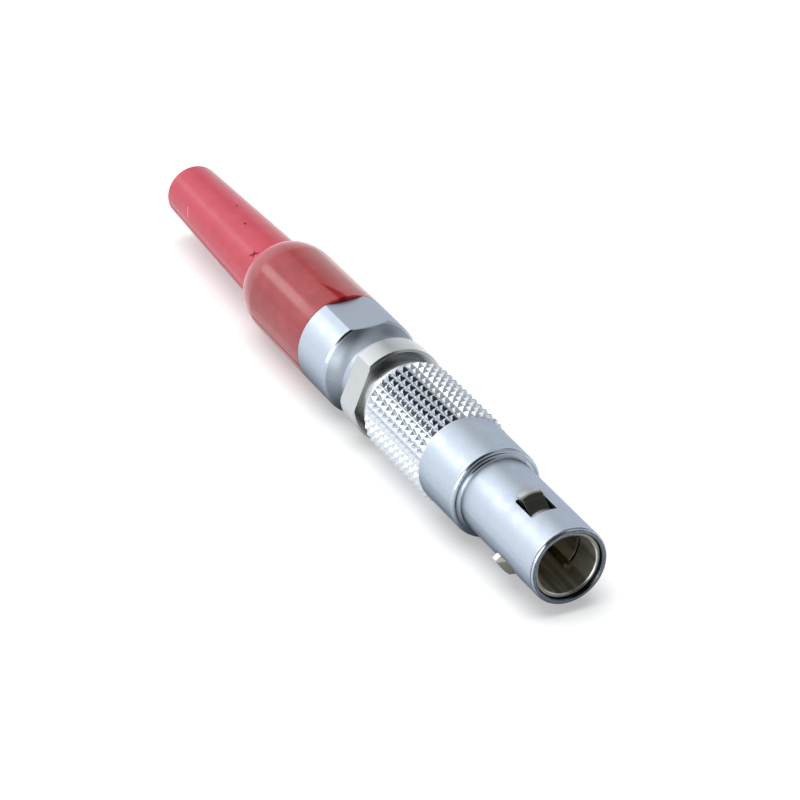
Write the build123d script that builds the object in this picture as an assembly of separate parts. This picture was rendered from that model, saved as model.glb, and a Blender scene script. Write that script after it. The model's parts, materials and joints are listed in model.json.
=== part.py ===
from build123d import *
import os
from math import radians, sin, sqrt, tan

# Miniature push-pull coaxial cable plug, in millimetres. The origin is the centre of the mating
# face, +X runs along the axis from the mating face to the cable end, and +Z is up as it lies.
# Profiles are drawn as (station along X, radius) and turned about the X axis.

# Outer shell: nose, ring and knurled grip
nose_r = 2.5
nose_length = 9.07
nose_wall = 0.33
rim_round = 0.2
rim_bevel = 0.06
ring_step = 0.49
ring_length = 4.36
ring_round = 0.23
ring_root_round = 0.23
knurl_inset = 0.01
knurl_height = 0.195
knurl_pitch = 0.66
knurl_rows = 11
knurl_columns = 36
knurl_crest = 0.1
knurl_valley = 0.06
knurl_strip = 0.02
tail_rim_length = 0.34
tail_rim_inset = 0.05
tail_rim_bevel = 0.1
grip_wall = 0.38
shoulder_wall = 0.4
release_travel = 0.58

# Windows in the nose, and the latch teeth that stand in them
latch_count = 3
latch_turn = -7.8
window_start = 2.55
window_length = 2.11
window_width = 1.67
window_corner = 0.12
tooth_side_gap = 0.175
tooth_rise = 0.37
tooth_top_length = 0.57
tooth_ramp_angle = 41.7
tooth_seat_gap = 0.04

# Latch sleeve: spring tongues in the nose, a barrel in the grip, and a collar with wrench flats
slide_gap = 0.04
stop_gap = 0.02
sleeve_setback = 0.25
sleeve_wall = 0.22
sleeve_mouth_bevel = 0.08
tongue_overhang = 0.1
tongue_slit = 0.14
tongue_tip_gap = 0.2
tongue_tip_clear = 0.7
tongue_root_clear = 0.85
barrel_wall = 0.39
collar_gap = 1.02
collar_length = 1.87
collar_step = 0.64
collar_bevel = 0.12
collar_flat_depth = 0.45
collar_flat_turn = -60.0

# Insulators and centre contact
fit_gap = 0.02
chamber_depth = 5.6
seat_land = 0.36
insulator_flange = 1.9
rear_insulator_length = 2.0
pin_r = 0.25
pin_point = 0.12
pin_setback = 0.1
pin_length = 8.2
contact_step = 0.2
contact_collar_step = 0.27
contact_collar_length = 0.4
contact_tail = 2.7
solder_wall = 0.17
solder_bore_depth = 1.6
solder_notch_length = 0.9

# Braid cone, collet and collet nut
cone_flange = 0.8
cone_length = 3.6
cone_step = 0.33
cone_drop = 0.32
cone_end_wall = 0.55
braid_gap = 0.12
collet_start_gap = 0.6
collet_grip_length = 2.0
collet_grip_bite = 0.2
collet_taper_length = 1.6
collet_taper_drop = 0.55
collet_slot = 0.3
collet_slots = 4
collet_slot_length = 4.6
nut_screw_overlap = 0.9
nut_neck_wall = 0.45
nut_neck_length = 0.75
nut_cup_length = 1.43
nut_cup_rise = 0.62
nut_edge_bevel = 0.06
nut_length = 3.6
nut_flat_depth = 0.28
nut_cable_gap = 0.2
spigot_length = 7.0
spigot_groove_depth = 0.15
spigot_groove_width = 0.5
spigot_grooves = 3
spigot_groove_pitch = 1.6
spigot_bevel = 0.25

# Bend relief
relief_wall = 0.58
relief_taper = 0.035
relief_mouth_round = 0.1
relief_sleeve_length = 7.2
relief_shoulder_length = 2.35
relief_shoulder_drop = 0.885
relief_rest_depth = 0.04
relief_end_gap = 0.1
tail_length = 13.9
tail_taper = 0.477
tail_round = 0.2
tail_end_wall = 0.483
cable_bore_bevel = 0.15

# Radii worked out from the sizes above
ring_r = nose_r + ring_step
knurl_root_r = ring_r - knurl_inset
knurl_tip_r = knurl_root_r + knurl_height
tail_rim_r = knurl_root_r - tail_rim_inset
nose_bore_r = nose_r - nose_wall
grip_bore_r = knurl_root_r - grip_wall
tooth_r = nose_r + tooth_rise
tongue_r = nose_bore_r - slide_gap
chamber_r = tongue_r - sleeve_wall
barrel_r = grip_bore_r - slide_gap
barrel_bore_r = barrel_r - barrel_wall
collar_r = barrel_r + collar_step
insert_r = barrel_bore_r - fit_gap
contact_r = pin_r + contact_step
contact_collar_r = contact_r + contact_collar_step
cone_front_r = insert_r - cone_step
cone_rear_r = cone_front_r - cone_drop
cone_bore_r = cone_rear_r - cone_end_wall
nut_neck_r = insert_r + nut_neck_wall
nut_edge_r = nut_neck_r + nut_cup_rise
nut_r = nut_edge_r + nut_edge_bevel
spigot_r = nut_r - relief_wall
relief_rear_r = nut_r - relief_taper
tail_front_r = relief_rear_r - relief_shoulder_drop
tail_rear_r = tail_front_r - tail_taper
cable_bore_r = tail_rear_r - tail_end_wall
nut_bore_r = cable_bore_r + nut_cable_gap
collet_bore_r = cable_bore_r - collet_grip_bite

# Stations worked out from the sizes above
knurl_start = nose_length + ring_length
knurl_end = knurl_start + knurl_rows * knurl_pitch
shell_end = knurl_end + tail_rim_length
shell_shoulder = nose_length + shoulder_wall
window_end = window_start + window_length
tooth_back = window_end - tooth_seat_gap
tooth_front = tooth_back - tooth_top_length
ramp_slope = tan(radians(tooth_ramp_angle))
tooth_foot = tooth_front - (tooth_r - tongue_r) / ramp_slope
tongue_tip = tooth_foot - tongue_tip_clear
tongue_root = shell_shoulder - tongue_root_clear
barrel_start = shell_shoulder + release_travel + stop_gap
insulator_seat = barrel_start + seat_land
contact_seat = insulator_seat + insulator_flange
pin_end = pin_setback + pin_length
rear_insulator_end = contact_seat + rear_insulator_length
cone_start = rear_insulator_end + cone_flange
cone_end = cone_start + cone_length
collet_start = cone_start + collet_start_gap
collet_taper = cone_end + collet_grip_length
collet_end = collet_taper + collet_taper_length
collar_start = shell_end + collar_gap
collar_end = collar_start + collar_length
nut_screw_start = collet_taper + nut_screw_overlap
nut_cup = collar_end + nut_neck_length
nut_edge = nut_cup + nut_cup_length
nut_end = nut_edge + nut_length
spigot_end = nut_end + spigot_length
relief_shoulder = nut_end + relief_sleeve_length
relief_tail = relief_shoulder + relief_shoulder_length
relief_end = relief_tail + tail_length


def turned_outline(edges, rounds=()):
    """Solid of revolution about X; rounds are (station, radius, fillet size) at profile corners."""
    face = make_face(Curve() + edges)
    for x, r, size in rounds:
        corner = face.vertices().sort_by_distance((x, r, 0))[0]
        face = fillet(corner, size)
    return revolve(face, Axis.X, 360)


def turned(points, rounds=()):
    return turned_outline([Polyline(points, close=True)], rounds)


def about_axis(shape, turn):
    """The shape turned about the plug's axis."""
    return Rot(turn, 0, 0) * shape


def all_round(shape, count, first_turn=0):
    """Copies of the shape, evenly spaced about the plug's axis."""
    return [about_axis(shape, first_turn + k * 360 / count) for k in range(count)]


def bar(x0, x1, width, z0, z1):
    """Rectangular bar above the axis, centred across Y."""
    return Pos((x0 + x1) / 2, 0, (z0 + z1) / 2) * Box(x1 - x0, width, z1 - z0)


def flats(x0, x1, outer_r, depth, turn):
    """The two segments that a pair of wrench flats takes off a round."""
    slab = bar(x0, x1, 3 * outer_r, outer_r - depth, 2 * outer_r)
    return all_round(slab, 2, turn)


def knurl_column():
    """One lengthwise row of the grip's pyramids, tall enough to root in the shell."""
    sunk_r = knurl_root_r - grip_wall / 2
    valley_r = tail_rim_r + knurl_strip / 2
    slope = (knurl_pitch - knurl_crest - knurl_valley) / 2
    side = [(knurl_start, sunk_r), (knurl_start, valley_r)]
    for row in range(knurl_rows):
        foot = knurl_start + row * knurl_pitch + knurl_valley / 2
        crest = foot + slope
        side += [(foot, valley_r), (crest, knurl_tip_r), (crest + knurl_crest, knurl_tip_r),
                 (crest + knurl_crest + slope, valley_r)]
    side += [(knurl_end, valley_r), (knurl_end, sunk_r)]
    half_angle = radians(180 / knurl_columns)
    foot_y = tail_rim_r * sin(half_angle) - knurl_strip / 2
    foot_z = sqrt(tail_rim_r ** 2 - foot_y ** 2) - knurl_strip
    sunk_y = foot_y * sunk_r / knurl_tip_r
    end = [(-sunk_y, sunk_r), (-foot_y, foot_z), (-knurl_crest / 2, knurl_tip_r), (knurl_crest / 2, knurl_tip_r),
           (foot_y, foot_z), (sunk_y, sunk_r)]
    across = extrude(Plane.XZ * make_face(Polyline(side, close=True)), knurl_tip_r, both=True)
    along = extrude(Plane.YZ * make_face(Polyline(end, close=True)), shell_end)
    return across & along


def outer_shell():
    points = [(0, nose_bore_r + rim_bevel), (0, nose_r), (nose_length, nose_r), (nose_length, ring_r),
              (knurl_start, ring_r), (knurl_start, tail_rim_r), (shell_end - tail_rim_bevel, tail_rim_r),
              (shell_end, tail_rim_r - tail_rim_bevel), (shell_end, grip_bore_r),
              (shell_shoulder, grip_bore_r), (shell_shoulder, nose_bore_r), (rim_bevel, nose_bore_r)]
    rounds = [(0, nose_r, rim_round), (nose_length, nose_r, ring_root_round), (nose_length, ring_r, ring_round)]
    shell = turned(points, rounds) + all_round(knurl_column(), knurl_columns)
    window = extrude(Plane.XY * Pos((window_start + window_end) / 2, 0)
                     * RectangleRounded(window_length, window_width, window_corner), 2 * nose_r)
    return shell - all_round(window, latch_count, latch_turn)


def latch_tooth():
    """Roof-shaped tooth: steep back, short crest, long ramp towards the mating face."""
    root_r = tongue_r - sleeve_wall / 2
    root_x = tooth_front - (tooth_r - root_r) / ramp_slope
    peak_r = tooth_r + tooth_top_length * ramp_slope
    side = make_face(Polyline([(root_x, root_r), (tooth_back, peak_r), (tooth_back, root_r)], close=True))
    wedge = extrude(Plane.XZ * side, window_width / 2 - tooth_side_gap, both=True)
    return wedge & Pos(tooth_back, 0, 0) * Rot(0, 90, 0) * Cylinder(tooth_r, 2 * tooth_back)


def tongue_slits():
    """U-shaped slit that frees one tongue at its sides and tip."""
    width = window_width - 2 * tooth_side_gap + 2 * tongue_overhang
    loop = bar(tongue_tip - tongue_tip_gap, tongue_root, width + 2 * tongue_slit, chamber_r / 2, nose_r)
    return loop - bar(tongue_tip, shell_end, width, 0, 2 * nose_r)


def latch_sleeve():
    points = [(sleeve_setback, chamber_r + sleeve_mouth_bevel), (sleeve_setback, tongue_r),
              (barrel_start, tongue_r), (barrel_start, barrel_r), (collar_start, barrel_r),
              (collar_start, collar_r - collar_bevel), (collar_start + collar_bevel, collar_r),
              (collar_end - collar_bevel, collar_r), (collar_end, collar_r - collar_bevel),
              (collar_end, barrel_bore_r), (insulator_seat, barrel_bore_r), (insulator_seat, chamber_r),
              (sleeve_setback + sleeve_mouth_bevel, chamber_r)]
    sleeve = turned(points)
    sleeve -= flats(collar_start, collar_end, collar_r, collar_flat_depth, latch_turn + collar_flat_turn)
    sleeve -= all_round(tongue_slits(), latch_count, latch_turn)
    return sleeve + all_round(latch_tooth(), latch_count, latch_turn)


def front_insulator():
    """Carries the pin: a slim front in the chamber, and a flange on the latch sleeve's shoulder."""
    pin_hole_r = pin_r + fit_gap
    bore_r = contact_r + fit_gap
    pocket_r = contact_collar_r + fit_gap
    pocket = contact_seat - contact_collar_length
    front_r = chamber_r - fit_gap
    return turned([(chamber_depth, pin_hole_r), (chamber_depth, front_r), (insulator_seat, front_r),
                   (insulator_seat, insert_r), (contact_seat, insert_r), (contact_seat, pocket_r),
                   (pocket, pocket_r), (pocket, bore_r), (pin_end, bore_r), (pin_end, pin_hole_r)])


def rear_insulator():
    return turned([(contact_seat, contact_r + fit_gap), (contact_seat, insert_r),
                   (rear_insulator_end, insert_r), (rear_insulator_end, contact_r + fit_gap)])


def centre_contact():
    """Turned pin with a locating collar and a hollow solder end, notched on one side."""
    tail_end = contact_seat + contact_tail
    bore_end = tail_end - solder_bore_depth
    collar_front = contact_seat - contact_collar_length
    solder_bore_r = contact_r - solder_wall
    contact = turned([(pin_setback, 0), (pin_setback, pin_r - pin_point), (pin_setback + pin_point, pin_r),
                      (pin_end, pin_r), (pin_end, contact_r), (collar_front, contact_r),
                      (collar_front, contact_collar_r), (contact_seat, contact_collar_r),
                      (contact_seat, contact_r), (tail_end, contact_r), (tail_end, solder_bore_r),
                      (bore_end, solder_bore_r), (bore_end, 0)])
    return contact - bar(tail_end - solder_notch_length, tail_end, 4 * contact_r, 0, 2 * contact_r)


def braid_cone():
    """Flanged cone: the cable's braid folds back over it, under the collet."""
    return turned([(rear_insulator_end, cone_bore_r), (rear_insulator_end, insert_r), (cone_start, insert_r),
                   (cone_start, cone_front_r), (cone_end, cone_rear_r), (cone_end, cone_bore_r)])


def collet():
    """Slotted sleeve: its front clamps the braid on the cone, its tail grips the jacket."""
    mouth_r = cone_front_r - cone_drop * collet_start_gap / cone_length + braid_gap
    throat = cone_end + braid_gap
    body = turned([(collet_start, mouth_r), (collet_start, insert_r), (collet_taper, insert_r),
                   (collet_end, insert_r - collet_taper_drop), (collet_end, collet_bore_r),
                   (throat, collet_bore_r), (throat, cone_rear_r + braid_gap)])
    slot = bar(collet_end - collet_slot_length, collet_end, collet_slot, 0, 2 * insert_r)
    return body - all_round(slot, collet_slots)


def spigot_groove_points(x):
    """One square groove of the spigot, from its front edge to its rear edge."""
    floor_r = spigot_r - spigot_groove_depth
    rear = x + spigot_groove_width
    return [(x, spigot_r), (x, floor_r), (rear, floor_r), (rear, spigot_r)]


def collet_nut():
    """Nut with a screwed front, a cupped face, a flatted body and a spigot for the relief."""
    taper_slope = collet_taper_drop / collet_taper_length
    seat_r = insert_r - taper_slope * nut_screw_overlap
    seat_end = nut_screw_start + (seat_r - nut_bore_r) / taper_slope
    cup = TangentArc((nut_cup, nut_neck_r), (nut_edge, nut_edge_r), tangent=(1, 0))
    points = [(nut_edge, nut_edge_r), (nut_edge + nut_edge_bevel, nut_r), (nut_end, nut_r), (nut_end, spigot_r)]
    for k in range(spigot_grooves):
        points += spigot_groove_points(nut_end + (k + 1) * spigot_groove_pitch)
    points += [(spigot_end - spigot_bevel, spigot_r), (spigot_end, spigot_r - spigot_bevel),
               (spigot_end, nut_bore_r), (seat_end, nut_bore_r), (nut_screw_start, seat_r),
               (nut_screw_start, insert_r), (collar_end, insert_r), (collar_end, nut_neck_r),
               (nut_cup, nut_neck_r)]
    nut = turned_outline([cup, Polyline(points)])
    return nut - flats(nut_cup, nut_end, nut_r, nut_flat_depth, 0)


def bend_relief():
    """Soft moulding: sleeve over the spigot, rounded shoulder, tapered tail round the cable.

    Its sleeve has a slight flat spot underneath, where the plug's weight lies on it.
    """
    pocket_end = spigot_end + relief_end_gap
    shoulder = EllipticalCenterArc((relief_shoulder, tail_front_r), relief_shoulder_length,
                                   relief_shoulder_drop, start_angle=0, arc_size=90)
    rest = Polyline([(relief_shoulder, relief_rear_r), (nut_end, nut_r), (nut_end, spigot_r),
                     (pocket_end, spigot_r), (pocket_end, cable_bore_r),
                     (relief_end - cable_bore_bevel, cable_bore_r), (relief_end, cable_bore_r + cable_bore_bevel),
                     (relief_end, tail_rear_r), (relief_tail, tail_front_r)])
    rounds = [(nut_end, nut_r, relief_mouth_round), (relief_end, tail_rear_r, tail_round)]
    under = bar(nut_end, relief_shoulder, 2 * nut_r, nut_r - relief_rest_depth, 2 * nut_r)
    return turned_outline([shoulder, rest], rounds) - about_axis(under, 180)


def main():
    os.makedirs("parts", exist_ok=True)
    pieces = {
        "outer_shell": outer_shell(),
        "latch_sleeve": latch_sleeve(),
        "front_insulator": front_insulator(),
        "rear_insulator": rear_insulator(),
        "centre_contact": centre_contact(),
        "braid_cone": braid_cone(),
        "collet": collet(),
        "collet_nut": collet_nut(),
        "bend_relief": bend_relief(),
    }
    for node, shape in pieces.items():
        export_step(shape, f"parts/{node}.step")


main()
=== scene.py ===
import json
from math import radians

import bpy
from mathutils import Matrix, Vector


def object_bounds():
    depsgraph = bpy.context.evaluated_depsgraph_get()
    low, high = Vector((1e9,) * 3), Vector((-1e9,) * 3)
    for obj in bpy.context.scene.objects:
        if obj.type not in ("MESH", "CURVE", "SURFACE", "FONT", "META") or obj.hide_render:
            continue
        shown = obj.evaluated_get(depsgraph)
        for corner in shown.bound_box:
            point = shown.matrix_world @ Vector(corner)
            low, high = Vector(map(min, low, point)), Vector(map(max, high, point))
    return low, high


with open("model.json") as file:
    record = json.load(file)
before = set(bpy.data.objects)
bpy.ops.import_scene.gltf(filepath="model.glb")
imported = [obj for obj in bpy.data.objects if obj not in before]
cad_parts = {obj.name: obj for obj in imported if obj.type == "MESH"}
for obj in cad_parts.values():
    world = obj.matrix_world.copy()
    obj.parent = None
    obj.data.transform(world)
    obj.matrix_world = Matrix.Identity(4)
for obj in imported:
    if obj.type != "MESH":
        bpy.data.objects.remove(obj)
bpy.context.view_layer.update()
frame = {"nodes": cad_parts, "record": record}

MM = 0.001

# Camera: where the mating face's centre lies in its view, and how it looks at the plug's axis
CAMERA_ELEVATION = 30.0
CAMERA_HEADING = -26.57
FACE_RIGHT = 9.792 * MM
FACE_BELOW = 9.646 * MM
FACE_AHEAD = 242.124 * MM
SENSOR_WIDTH = 36.0
LENS = 188.96
CLIP_START = 0.01
CLIP_END = 20

# Floor
FLOOR_COLOUR = (0.735, 0.74, 0.745, 1.0)
FLOOR_LIFT = 0.24
FLOOR_SIZE = 3.0

# Studio level: from the horizon up to a height, and from the camera's side to the far side
HORIZON_LEVEL = 0.95
ZENITH_LEVEL = 0.66
ZENITH_HEIGHT = 0.62
FRONT_SHARE = 0.75
FRONT_FADE = (-0.35, 0.25)
DARKEST_LEVEL = 0.03

# Brighter and darker zones of the studio: (direction, full to degrees, gone by degrees, strength)
SOFT_BOX = ((0.774, 0.453, 0.441), 4, 10, 2.2)
BOX_GLOW = ((0.774, 0.37, 0.515), 10, 46, 0.75)
LEFT_PANEL = ((-0.35, 0.9, 0.15), 20, 44, 2.0)
DARK_STRIP = ((0.774, -0.278, 0.568), 2, 8, -0.25)
DARK_GAP = ((-0.55, 0.25, 0.80), 26, 38, -0.9)
RIGHT_GAP = ((0.25, -0.78, 0.57), 8, 22, -0.45)
RIGHT_GLOW = ((0.774, -0.55, 0.31), 4, 22, 0.13)
ZONES = (SOFT_BOX, BOX_GLOW, LEFT_PANEL, DARK_STRIP, DARK_GAP, RIGHT_GAP, RIGHT_GLOW)

# Key lamp: direction from its aim, distance, size and power
LAMP_AIM = Vector((26 * MM, 0, 0))
KEY_LAMP = ((-0.05, 0.1, 1.0), 0.5, 0.5, 2.1)

# Places on the metal, in mm: first and last station, or inner and outer radius where the name ends in R.
# The rim line, rim face, cup, sleeve face, tooth ramp and pin tip carry painted shade
RIM_FADE = (0.2, 0.4)
RIM_LINE = (0.13, 0.20)
RIM_FACE_R = (2.16, 2.40)
RING_CORNER = (9.0, 9.34)
GRIP = (13.4, 21.0)
CUP = (24.75, 25.95)
NUT_CORNER = (26.06, 26.2)
BORE_R = (1.92, 1.96)
SLEEVE_FACE = (0.30, 0.36)
SLEEVE_FACE_R = (1.94, 1.98)
TOOTH_RAMP = (4.1, 4.3)
TOOTH_R = (2.14, 2.2)
PIN_TIP = (0.15, 0.35)

# Places on the relief, in mm. The painted reflection of the nut drifts sideways and narrows along its
# length
RELIEF_WEAR = (30.2, 31.8)
RELIEF_SHOULDER = (37.2, 39.2)
RELIEF_TAIL = (37.5, 39.5)
PAINTED_REFLECTION = (29.6, 33.0)
PAINTED_REFLECTION_MIDDLE = (0.10, 0.58)
PAINTED_REFLECTION_HALF_WIDTH = (0.32, 0.0)
PAINTED_REFLECTION_HEIGHT = (2.0, 2.5)

# The relief's mould seam lies in a plane through the axis: its direction across that plane. A band of
# painted shade lies beside the seam
SEAM_ACROSS = (0.0, -0.342, -0.940)
PAINTED_SEAM_SHADE_BAND = (-0.19, -0.13)
SEAM_OUTSIDE_R = (1.5, 1.6)

# Small marks on the relief, in mm: (middle, direction across the stroke, length, width)
RELIEF_MARKS = (
    ((40.0, 1.53, 1.78), (0.707, -0.543, 0.453), 0.85, 0.16),
    ((40.0, 1.53, 1.78), (0.707, 0.543, -0.453), 0.60, 0.14),
    ((43.5, 0.53, 2.15), (0.0, 0.97, -0.24), 0.34, 0.16),
    ((46.1, -0.08, 2.12), (0.0, 1.0, 0.04), 0.24, 0.14),
)
RELIEF_SCRATCH = ((49.6, 1.92, 0.45), (0.91, 0.09, -0.40), 0.8, 0.08)

# Colours of the finishes. Pairs are the two ends of an uneven tone
CHROME = (0.565, 0.635, 0.735, 1)
# Painted light: the grip's chrome is lighter than the rest.
CHROME_GRIP_PAINTED_LIGHT = (0.70, 0.745, 0.80, 1)
# Painted shade: the dark end that the chrome fades to in hollows, underneath, in the cup and on the rim.
CHROME_PAINTED_SHADE = (0.07, 0.085, 0.10, 1)
CHROME_TINT = (0.52, 0.56, 0.63, 1)
NICKEL = (0.53, 0.555, 0.57, 1)
# Painted shade: the dark end that the nickel fades to in gaps, underneath, on the sleeve face and tooth
# ramp.
NICKEL_PAINTED_SHADE = (0.13, 0.13, 0.10, 1)
# Streaked olive stains in the bore, painted lighter than the nickel as painted light.
BORE_STAINS_AND_PAINTED_LIGHT = ((0.52, 0.53, 0.47, 1), (0.98, 0.98, 0.90, 1))
# Painted shade: the pin's gold darkened, as it sits in the bore; its tone varies at random.
GOLD_IN_PAINTED_SHADE = ((0.13, 0.093, 0.04, 1), (0.23, 0.16, 0.065, 1))
# Painted shade: the pin's tip, near black.
GOLD_TIP_PAINTED_SHADE = (0.035, 0.026, 0.016, 1)
BRASS_TONES = ((0.62, 0.48, 0.26, 1), (0.72, 0.58, 0.33, 1))
INSULATOR_TONES = ((0.15, 0.10, 0.06, 1), (0.19, 0.13, 0.08, 1))
THICK_REDS = ((0.24, 0.016, 0.022, 1), (0.295, 0.025, 0.030, 1))
THIN_REDS = ((0.39, 0.018, 0.046, 1), (0.43, 0.025, 0.055, 1))
# Painted reflection: the nut's dark mirror image on the sleeve.
PAINTED_REFLECTION_RED = (0.20, 0.005, 0.009, 1)
# Painted shade beside the mould seam.
PAINTED_SEAM_SHADE_RED = (0.18, 0.010, 0.020, 1)
MARK_RED = (0.14, 0.012, 0.016, 1)
SCRATCH_PINK = (0.80, 0.50, 0.54, 1)
SHEEN_PINK = (0.80, 0.62, 0.72, 1)


def axes_of_camera():
    """The camera's right, up and forward directions in the frame."""
    turn = Matrix.Rotation(radians(CAMERA_HEADING), 3, "Z")
    tilt = Matrix.Rotation(radians(CAMERA_ELEVATION), 3, "Y")
    forward = turn @ tilt @ Vector((1, 0, 0))
    right = forward.cross(Vector((0, 0, 1))).normalized()
    return right, right.cross(forward), forward


def add_camera():
    right, up, forward = axes_of_camera()
    data = bpy.data.cameras.new("camera")
    data.sensor_width = SENSOR_WIDTH
    data.lens = LENS
    data.clip_start = CLIP_START
    data.clip_end = CLIP_END
    camera = bpy.data.objects.new("camera", data)
    turn = Matrix((right, up, -forward)).transposed()
    place = up * FACE_BELOW - right * FACE_RIGHT - forward * FACE_AHEAD
    camera.matrix_world = Matrix.Translation(place) @ turn.to_4x4()
    bpy.context.scene.collection.objects.link(camera)
    bpy.context.scene.camera = camera


class Nodes:
    """Short calls for building one node tree."""

    def __init__(self, tree):
        self.tree = tree
        tree.nodes.clear()

    def add(self, kind, inputs=(), **settings):
        node = self.tree.nodes.new(kind)
        for key, value in settings.items():
            setattr(node, key, value)
        for key, value in dict(inputs).items():
            self.put(node.inputs[key], value)
        return node

    def put(self, socket, value):
        if isinstance(value, bpy.types.NodeSocket):
            self.tree.links.new(value, socket)
        else:
            socket.default_value = value

    def math(self, operation, a, b=0.0):
        return self.add("ShaderNodeMath", {0: a, 1: b}, operation=operation).outputs[0]

    def product(self, first, *others):
        for other in others:
            first = self.math("MULTIPLY", first, other)
        return first

    def largest(self, first, *others):
        for other in others:
            first = self.math("MAXIMUM", first, other)
        return first

    def dot(self, a, b):
        return self.add("ShaderNodeVectorMath", {0: a, 1: b}, operation="DOT_PRODUCT").outputs["Value"]

    def smooth(self, value, low, high, to_low=0.0, to_high=1.0):
        """value mapped from low..high to to_low..to_high with soft ends."""
        inputs = {"Value": value, "From Min": low, "From Max": high, "To Min": to_low, "To Max": to_high}
        return self.add("ShaderNodeMapRange", inputs, interpolation_type="SMOOTHSTEP").outputs["Result"]

    def between(self, value, low, high, soft):
        """1 while value lies between low and high, with soft ends."""
        rise = self.smooth(value, low - soft, low)
        fall = self.smooth(value, high, high + soft, 1.0, 0.0)
        return self.product(rise, fall)

    def mix_colour(self, factor, a, b):
        node = self.add("ShaderNodeMix", data_type="RGBA")
        self.put(node.inputs[0], factor)
        self.put(node.inputs[6], a)
        self.put(node.inputs[7], b)
        return node.outputs[2]

    def noise(self, vector, scale, detail=2.0):
        inputs = {"Vector": vector, "Scale": scale, "Detail": detail}
        return self.add("ShaderNodeTexNoise", inputs).outputs["Fac"]

    def place(self):
        """Object coordinates in millimetres: the vector, and its three parts."""
        coords = self.add("ShaderNodeTexCoord").outputs["Object"]
        inputs = {0: coords, "Scale": 1 / MM}
        scaled = self.add("ShaderNodeVectorMath", inputs, operation="SCALE").outputs[0]
        parts = self.add("ShaderNodeSeparateXYZ", {0: scaled}).outputs
        return scaled, parts[0], parts[1], parts[2]

    def stretched(self, vector, along, across):
        inputs = {"Vector": vector, "Scale": (along, across, across)}
        return self.add("ShaderNodeMapping", inputs).outputs[0]

    def radius(self, y, z):
        return self.math("SQRT", self.math("ADD", self.product(y, y), self.product(z, z)))


def add_world():
    """A pale studio, with the zones that the metal mirrors added to its level."""
    world = bpy.data.worlds.new("studio")
    world.use_nodes = True
    bpy.context.scene.world = world
    n = Nodes(world.node_tree)
    direction = n.add("ShaderNodeTexCoord").outputs["Generated"]
    parts = n.add("ShaderNodeSeparateXYZ", {0: direction}).outputs
    level = n.smooth(parts[2], 0.0, ZENITH_HEIGHT, HORIZON_LEVEL, ZENITH_LEVEL)
    level = n.product(level, n.smooth(parts[0], *FRONT_FADE, FRONT_SHARE, 1.0))
    for aim, full, gone, strength in ZONES:
        angle = n.math("ARCCOSINE", n.math("MINIMUM", n.dot(direction, Vector(aim).normalized()), 1.0))
        level = n.math("ADD", level, n.smooth(angle, radians(full), radians(gone), strength, 0.0))
    level = n.largest(level, DARKEST_LEVEL)
    back = n.add("ShaderNodeBackground", {"Color": (1, 1, 1, 1), "Strength": level})
    n.add("ShaderNodeOutputWorld", {"Surface": back.outputs[0]})


def add_lamp(name, direction, distance, size, power):
    """A round soft lamp above the plug, for matt surfaces and the shadow."""
    data = bpy.data.lights.new(name, "AREA")
    data.shape = "DISK"
    data.size = size
    data.energy = power
    lamp = bpy.data.objects.new(name, data)
    towards = Vector(direction).normalized()
    lamp.location = LAMP_AIM + towards * distance
    lamp.rotation_mode = "QUATERNION"
    lamp.rotation_quaternion = (-towards).to_track_quat("-Z", "Y")
    lamp.visible_glossy = False
    bpy.context.scene.collection.objects.link(lamp)


def add_floor():
    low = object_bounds()[0]
    half = FLOOR_SIZE / 2
    mesh = bpy.data.meshes.new("floor")
    corners = [(-half, -half, low.z), (half, -half, low.z), (half, half, low.z), (-half, half, low.z)]
    mesh.from_pydata(corners, [], [(0, 1, 2, 3)])
    floor = bpy.data.objects.new("floor", mesh)
    bpy.context.scene.collection.objects.link(floor)
    material = bpy.data.materials.new("floor")
    material.use_nodes = True
    n = Nodes(material.node_tree)
    rays = n.add("ShaderNodeLightPath").outputs
    seen = n.largest(rays["Is Camera Ray"], rays["Is Glossy Ray"], rays["Is Transmission Ray"])
    paint = n.add("ShaderNodeBsdfDiffuse", {"Color": FLOOR_COLOUR})
    lift = n.add("ShaderNodeEmission", {"Color": (1, 1, 1, 1), "Strength": n.product(seen, FLOOR_LIFT)})
    both = n.add("ShaderNodeAddShader", {0: paint.outputs[0], 1: lift.outputs[0]})
    n.add("ShaderNodeOutputMaterial", {"Surface": both.outputs[0]})
    mesh.materials.append(material)


def principled(n, **inputs):
    named = {key.replace("_", " "): value for key, value in inputs.items()}
    shader = n.add("ShaderNodeBsdfPrincipled", named)
    n.add("ShaderNodeOutputMaterial", {"Surface": shader.outputs[0]})


def material_with(name, build):
    material = bpy.data.materials.new(name)
    material.use_nodes = True
    build(Nodes(material.node_tree))
    return material


def turned_metal(n, where, lines_per_mm, depth, edge=0.03):
    """Normal of a turned surface with softened edges, and the noise of its tool lines."""
    lines = n.noise(n.stretched(where, lines_per_mm, 0.05), 1.0, 3.0)
    soft = n.add("ShaderNodeBevel", {"Radius": edge * MM}, samples=4).outputs[0]
    inputs = {"Height": lines, "Strength": depth, "Distance": 0.01 * MM, "Normal": soft}
    return n.add("ShaderNodeBump", inputs).outputs[0], lines


def hollows(n, reach):
    """1 in the open, falling to 0 in narrow gaps and valleys; the finishes paint shade with it."""
    return n.add("ShaderNodeAmbientOcclusion", {"Distance": reach * MM}, samples=4).outputs["AO"]


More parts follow.
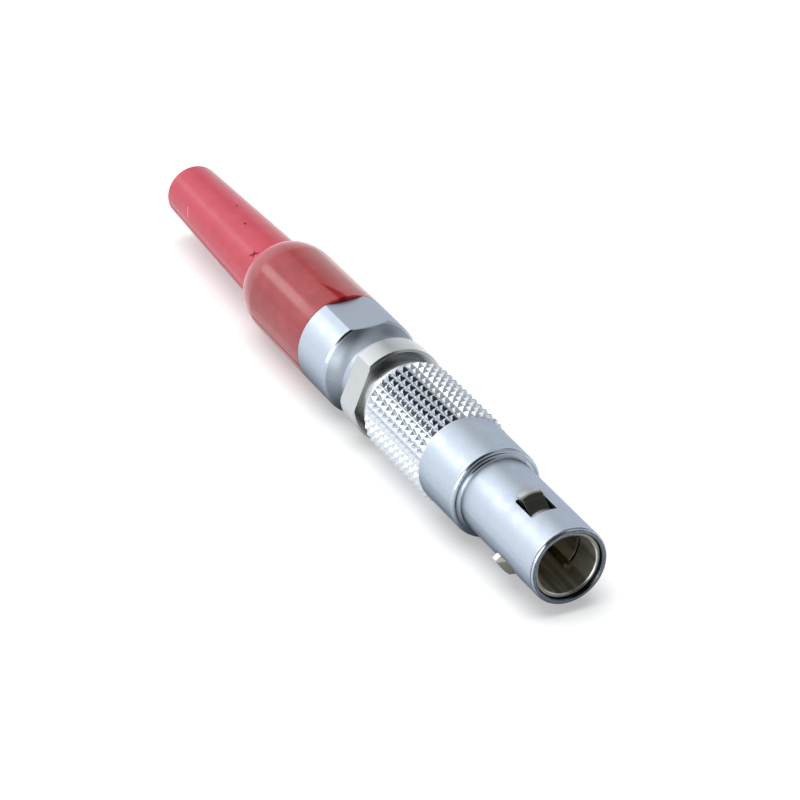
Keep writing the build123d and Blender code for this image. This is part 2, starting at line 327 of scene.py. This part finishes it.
def satin_chrome(n):
    """Satin nose, ring and nut; polished rim, corners and grip; painted shade in hollows, towards the
    underside, in the nut's cup, on the rim face and along the rim's edge; lighter chrome on the grip as
    painted light.
    """
    where, x, y, z = n.place()
    normal, lines = turned_metal(n, where, 9.0, 0.05, 0.04)
    grain = n.noise(where, 14.0, 3.0)
    uneven = n.smooth(n.noise(where, 1.3, 3.0), 0.35, 0.65, 0.0, 0.07)
    satin = n.math("ADD", n.smooth(lines, 0.3, 0.7, 0.33, 0.37), uneven)
    rim = n.smooth(x, *RIM_FADE, 1.0, 0.0)
    grip = n.between(x, *GRIP, 0.1)
    polish = n.largest(rim, n.between(x, *RING_CORNER, 0.06), grip, n.between(x, *NUT_CORNER, 0.02))
    # Painted shade: the nut's cup is darkened by up to 0.42.
    painted_cup_shade = n.smooth(n.between(x, *CUP, 0.1), 0.0, 1.0, 0.0, 0.42)
    # Painted shade: a dark, grainy line along the rim's outer rounding.
    painted_rim_edge_shade = n.product(n.between(x, *RIM_LINE, 0.03), n.smooth(grain, 0.35, 0.6, 0.4, 0.85))
    # Painted shade on the rim face, mottled at random by grain.
    painted_rim_face_shade = n.between(n.radius(y, z), *RIM_FACE_R, 0.02)
    painted_rim_face_shade = n.product(rim, painted_rim_face_shade, n.smooth(grain, 0.4, 0.65, 1.0, 0.7))
    # Painted shade of the cup and rim, taken off the chrome's colour.
    painted_shade_and_marks = n.largest(painted_cup_shade, painted_rim_edge_shade, painted_rim_face_shade)
    # Painted shade: the chrome darkens in narrow valleys and gaps, less so on the rim.
    painted_valley_shade = n.largest(n.smooth(hollows(n, 0.3), 0.1, 0.75), n.product(rim, 0.45))
    # Painted shade: the chrome darkens where the floor lies within 6 mm, towards the underside; the grip
    # is spared.
    painted_underside_shade = n.largest(n.smooth(hollows(n, 6.0), 0.36, 1.05), n.product(grip, 0.85))
    grey = n.smooth(grain, 0.3, 0.6, 0.93, 1.0)
    shade = n.product(painted_valley_shade, n.math("SUBTRACT", 1.0, painted_shade_and_marks), painted_underside_shade, grey)
    colour = n.mix_colour(shade, CHROME_PAINTED_SHADE, n.mix_colour(grip, CHROME, CHROME_GRIP_PAINTED_LIGHT))
    rough = n.smooth(polish, 0.0, 1.0, satin, 0.16)
    principled(n, Base_Color=colour, Metallic=1.0, Roughness=rough, Normal=normal,
               Specular_Tint=CHROME_TINT)


def nickel(n):
    """Fine turned outside; duller in the bore, with streaked stains painted lighter as painted light;
    painted shade in gaps, towards the underside, on the sleeve's end face and on the tooth ramp.
    """
    where, x, y, z = n.place()
    radius = n.radius(y, z)
    inside = n.smooth(radius, *BORE_R, 1.0, 0.0)
    normal, lines = turned_metal(n, where, 7.0, n.smooth(inside, 0.0, 1.0, 0.04, 0.0))
    rough = n.smooth(inside, 0.0, 1.0, n.smooth(lines, 0.3, 0.7, 0.24, 0.3), 0.42)
    streaks = n.noise(n.stretched(where, 0.08, 1.6), 1.0, 1.0)
    # Streaked stains, painted light enough to brighten the deep bore.
    stains_and_painted_light = n.mix_colour(n.smooth(streaks, 0.35, 0.65), *BORE_STAINS_AND_PAINTED_LIGHT)
    # Painted shade on the sleeve's front end face.
    painted_face_shade = n.product(n.smooth(x, *SLEEVE_FACE, 0.8, 0.0), n.smooth(radius, *SLEEVE_FACE_R))
    # Painted shade on the latch tooth's ramp, seen through the window.
    painted_ramp_shade = n.product(n.smooth(x, *TOOTH_RAMP, 0.85, 0.0), n.smooth(radius, *TOOTH_R))
    # Painted shade: the nickel darkens in gaps within 1 mm.
    painted_gap_shade = n.smooth(hollows(n, 1.0), 0.0, 0.8)
    # Painted shade: the nickel darkens where the floor lies within 6 mm, towards the underside.
    painted_underside_shade = n.smooth(hollows(n, 6.0), 0.0, 0.7)
    shade = n.product(painted_gap_shade, painted_underside_shade, n.math("SUBTRACT", 1.0, n.largest(painted_face_shade, painted_ramp_shade)))
    colour = n.mix_colour(inside, n.mix_colour(shade, NICKEL_PAINTED_SHADE, NICKEL), stains_and_painted_light)
    principled(n, Base_Color=colour, Metallic=1.0, Roughness=rough, Normal=normal)


def contact_gold(n):
    where, x = n.place()[:2]
    normal, lines = turned_metal(n, where, 8.0, 0.04, 0.02)
    # Painted shade: darkened gold, its tone varying at random.
    tone = n.mix_colour(n.smooth(n.noise(where, 3.0), 0.35, 0.65), *GOLD_IN_PAINTED_SHADE)
    # Painted shade: the tip turns near black.
    colour = n.mix_colour(n.smooth(x, *PIN_TIP, 1.0, 0.0), tone, GOLD_TIP_PAINTED_SHADE)
    rough = n.smooth(lines, 0.3, 0.7, 0.32, 0.42)
    principled(n, Base_Color=colour, Metallic=1.0, Roughness=rough, Normal=normal)


def turned_brass(n):
    where = n.place()[0]
    normal, lines = turned_metal(n, where, 6.0, 0.15)
    colour = n.mix_colour(n.smooth(n.noise(where, 2.0), 0.35, 0.65), *BRASS_TONES)
    rough = n.smooth(lines, 0.3, 0.7, 0.28, 0.38)
    principled(n, Base_Color=colour, Metallic=1.0, Roughness=rough, Normal=normal)


def insulator(n):
    where = n.place()[0]
    lines = n.noise(n.stretched(where, 5.0, 0.05), 1.0, 3.0)
    bump = n.add("ShaderNodeBump", {"Height": lines, "Strength": 0.1, "Distance": 0.01 * MM})
    colour = n.mix_colour(n.smooth(n.noise(where, 1.5), 0.3, 0.7), *INSULATOR_TONES)
    rough = n.smooth(lines, 0.3, 0.7, 0.45, 0.55)
    principled(n, Base_Color=colour, Roughness=rough, Normal=bump.outputs[0])


def stroke(n, where, centre, across, length, width):
    """1 on a short line through centre, at right angles to across."""
    offset = n.add("ShaderNodeVectorMath", {0: where, 1: centre}, operation="SUBTRACT").outputs[0]
    reach = n.add("ShaderNodeVectorMath", {0: offset}, operation="LENGTH").outputs["Value"]
    thin = n.smooth(n.math("ABSOLUTE", n.dot(offset, across)), 0.3 * width, 0.7 * width, 1.0, 0.0)
    return n.product(thin, n.smooth(reach, 0.35 * length, 0.55 * length, 1.0, 0.0))


def painted_nut_reflection_mask(n, x, y, z):
    """1 on the painted dark reflection of the nut, which starts at the nut, on top of the sleeve."""
    side = n.math("ABSOLUTE", n.math("SUBTRACT", y, n.smooth(x, *PAINTED_REFLECTION, *PAINTED_REFLECTION_MIDDLE)))
    edge = n.math("SUBTRACT", side, n.smooth(x, *PAINTED_REFLECTION, *PAINTED_REFLECTION_HALF_WIDTH))
    return n.product(n.smooth(edge, -0.12, 0.04, 1.0, 0.0), n.smooth(z, *PAINTED_REFLECTION_HEIGHT))


def red_relief(n):
    """Glossy dark red sleeve and clearer tail, with a mould seam and painted shade beside it, a painted
    dark reflection of the nut, and small marks; gloss fades towards the underside as painted shade on
    its reflections.
    """
    where, x, y, z = n.place()
    grain = n.noise(where, 9.0, 4.0)
    cloud = n.smooth(n.noise(where, 0.9, 3.0), 0.3, 0.7)
    tail = n.smooth(x, *RELIEF_TAIL)
    shoulder = n.between(x, *RELIEF_SHOULDER, 0.4)
    painted_nut_reflection = painted_nut_reflection_mask(n, x, y, z)
    # Painted shade in a band beside the mould seam, kept off the bore.
    painted_seam_shade = n.between(n.dot(where, SEAM_ACROSS), *PAINTED_SEAM_SHADE_BAND, 0.08)
    painted_seam_shade = n.product(painted_seam_shade, n.smooth(n.radius(y, z), *SEAM_OUTSIDE_R))
    marks = n.largest(*[stroke(n, where, *mark) for mark in RELIEF_MARKS])
    scratch = stroke(n, where, *RELIEF_SCRATCH)
    worn = n.math("ADD", n.product(tail, 0.14), n.smooth(x, *RELIEF_WEAR, 0.12, 0.0))
    rough = n.math("ADD", n.smooth(grain, 0.35, 0.65, 0.10, 0.12), worn)
    # Painted shade on the reflections: gloss falls where the floor lies within 6 mm, towards the
    # underside; the shoulder keeps more.
    gloss = n.largest(n.smooth(hollows(n, 6.0), 0.55, 1.0, 0.07, 0.5), n.product(shoulder, 0.6))
    # Painted nut reflection, painted seam shade and small marks, which take gloss away.
    painted_shade_and_marks = n.largest(n.product(painted_nut_reflection, 0.85), marks, painted_seam_shade)
    gloss = n.product(gloss, n.math("SUBTRACT", 1.0, painted_shade_and_marks))
    colour = n.mix_colour(tail, n.mix_colour(cloud, *THICK_REDS), n.mix_colour(cloud, *THIN_REDS))
    # Painted reflection of the nut, in a deeper red.
    colour = n.mix_colour(n.product(painted_nut_reflection, 0.9), colour, PAINTED_REFLECTION_RED)
    colour = n.mix_colour(n.product(painted_seam_shade, 0.6), colour, PAINTED_SEAM_SHADE_RED)
    colour = n.mix_colour(n.product(scratch, 0.5), colour, SCRATCH_PINK)
    colour = n.mix_colour(n.product(marks, 0.85), colour, MARK_RED)
    bump = n.add("ShaderNodeBump", {"Height": grain, "Strength": 0.008, "Distance": 0.02 * MM})
    principled(n, Base_Color=colour, Roughness=rough, IOR=1.5, Specular_IOR_Level=gloss,
               Sheen_Weight=n.product(shoulder, 0.5), Sheen_Roughness=0.35, Sheen_Tint=SHEEN_PINK,
               Normal=bump.outputs[0])


FINISHES = {
    "satin_chrome": satin_chrome,
    "nickel": nickel,
    "insulator": insulator,
    "contact_gold": contact_gold,
    "brass": turned_brass,
    "red_relief": red_relief,
}


def dress_nodes():
    """Every CAD node gets the finish that its record slot names."""
    made = {name: material_with(name + "_finish", build) for name, build in FINISHES.items()}
    for part in frame["record"]["subparts"]:
        mesh = frame["nodes"][part["node"]].data
        mesh.materials.clear()
        mesh.materials.append(made[part["material_slot"]])


bpy.context.scene.view_settings.view_transform = "Standard"
add_camera()
add_world()
add_lamp("key", *KEY_LAMP)
add_floor()
dress_nodes()
